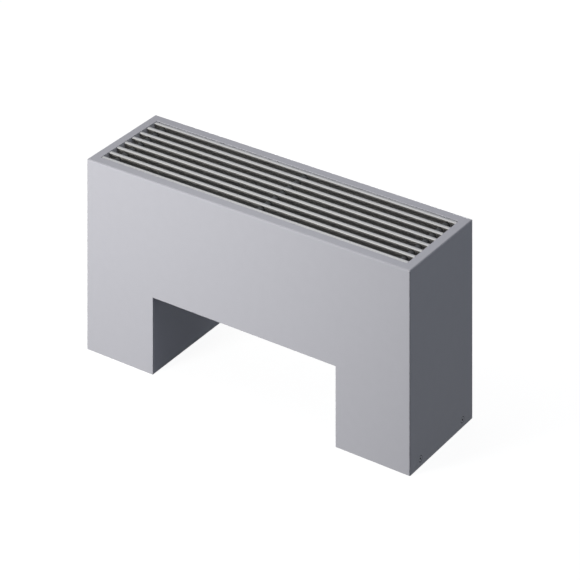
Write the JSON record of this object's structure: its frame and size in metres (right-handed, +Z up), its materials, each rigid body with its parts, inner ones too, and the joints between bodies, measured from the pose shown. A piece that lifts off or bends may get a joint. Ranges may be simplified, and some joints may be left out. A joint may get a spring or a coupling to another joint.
{
  "type": "floor-standing convector",
  "caption": "Floor-standing water convector: folded steel casing on two legs, lift-out linear grille, finned tube heat exchanger with valves inside.",
  "frame": {"origin": "centre of the footprint, on the floor", "axes": "+X along the casing to the right, front faces -Y, +Z up"},
  "size_m": [0.6, 0.18, 0.3],
  "materials": {
    "casing_paint": "satin light grey powder coat, fine grain",
    "leg_panel_paint": "satin light grey powder coat, fine grain",
    "galvanised_plate": "zinc coated, satin",
    "steel_fasteners": "zinc plated, satin",
    "fin_aluminium": "bare rolled sheet",
    "copper_tube": "drawn copper, slightly darkened",
    "brass_fittings": "turned brass",
    "nickel_fittings": "nickel plated brass, satin",
    "black_rubber": "matt",
    "cap_plastic": "moulded, matt",
    "anodised_bars": "natural anodised, drawn lengthwise",
    "anodised_spacers": "natural anodised"
  },
  "bodies": {
    "convector": {"front_panel": "casing_paint", "back_panel": "casing_paint", "side_panel_left": "casing_paint", "side_panel_right": "casing_paint", "grille_frame": "casing_paint", "casing_screws": "casing_paint", "inner_leg_panel_left": "leg_panel_paint", "inner_leg_panel_right": "leg_panel_paint", "stand_left": "galvanised_plate", "stand_right": "galvanised_plate", "pipe_bracket": "galvanised_plate", "casing_nuts": "steel_fasteners", "bracket_screws": "steel_fasteners", "fin_block": "fin_aluminium", "tube_front_lower": "copper_tube", "tube_front_upper": "copper_tube", "tube_back_lower": "copper_tube", "tube_back_upper": "copper_tube", "return_bend_lower": "copper_tube", "return_bend_upper": "copper_tube", "flow_header": "copper_tube", "return_header": "copper_tube", "flow_riser": "copper_tube", "return_riser": "copper_tube", "drain_plug": "brass_fittings", "flow_valve_insert": "brass_fittings", "return_valve_bonnet": "brass_fittings", "union_nuts": "brass_fittings", "riser_nuts": "brass_fittings", "connector_locknuts": "brass_fittings", "bleed_valve_body": "nickel_fittings", "flow_valve_body": "nickel_fittings", "return_valve_body": "nickel_fittings", "lockshield_cap": "nickel_fittings", "flow_connector": "nickel_fittings", "return_connector": "nickel_fittings", "tube_grommets_left": "black_rubber", "tube_grommets_right": "black_rubber", "grille_pad_left": "black_rubber", "grille_pad_right": "black_rubber"},
    "grille": {"grille_bar_1": "anodised_bars", "grille_bar_2": "anodised_bars", "grille_bar_3": "anodised_bars", "grille_bar_4": "anodised_bars", "grille_bar_5": "anodised_bars", "grille_bar_6": "anodised_bars", "grille_bar_7": "anodised_bars", "grille_bar_8": "anodised_bars", "tie_rod_left": "steel_fasteners", "tie_rod_middle": "steel_fasteners", "tie_rod_right": "steel_fasteners", "spacers_left": "anodised_spacers", "spacers_middle": "anodised_spacers", "spacers_right": "anodised_spacers", "rod_nuts": "steel_fasteners"},
    "pin": {"valve_pin": "steel_fasteners"},
    "cap": {"hand_cap": "cap_plastic"},
    "ball": {"ball_spindle": "nickel_fittings"},
    "bleed": {"bleed_screw": "nickel_fittings"}
  },
  "joints": [
    {"name": "grille_lift", "type": "slide", "parent": "convector", "child": "grille", "axis": [0, 0, 1], "range_m": [0, 0.15]},
    {"name": "pin_travel", "type": "slide", "parent": "convector", "child": "pin", "axis": [0, 0, 1], "range_m": [-0.00225, 0]},
    {"name": "cap_turn", "type": "hinge", "parent": "pin", "child": "cap", "pos_m": [-0.276, -0.0375, 0.1845], "axis": [0, 0, 1], "range_deg": [-540, 0]},
    {"name": "ball_turn", "type": "hinge", "parent": "convector", "child": "ball", "pos_m": [-0.276, 0.0375, 0.1495], "axis": [0, 0, 1], "range_deg": [0, 90]},
    {"name": "bleed_turn", "type": "hinge", "parent": "convector", "child": "bleed", "pos_m": [-0.232, 0.0375, 0.1845], "axis": [0, 0, 1], "range_deg": [0, 360]}
  ],
  "couplings": [
    {"joint": "pin_travel", "follows": "cap_turn", "m_per_rad": 0.0002387}
  ]
}
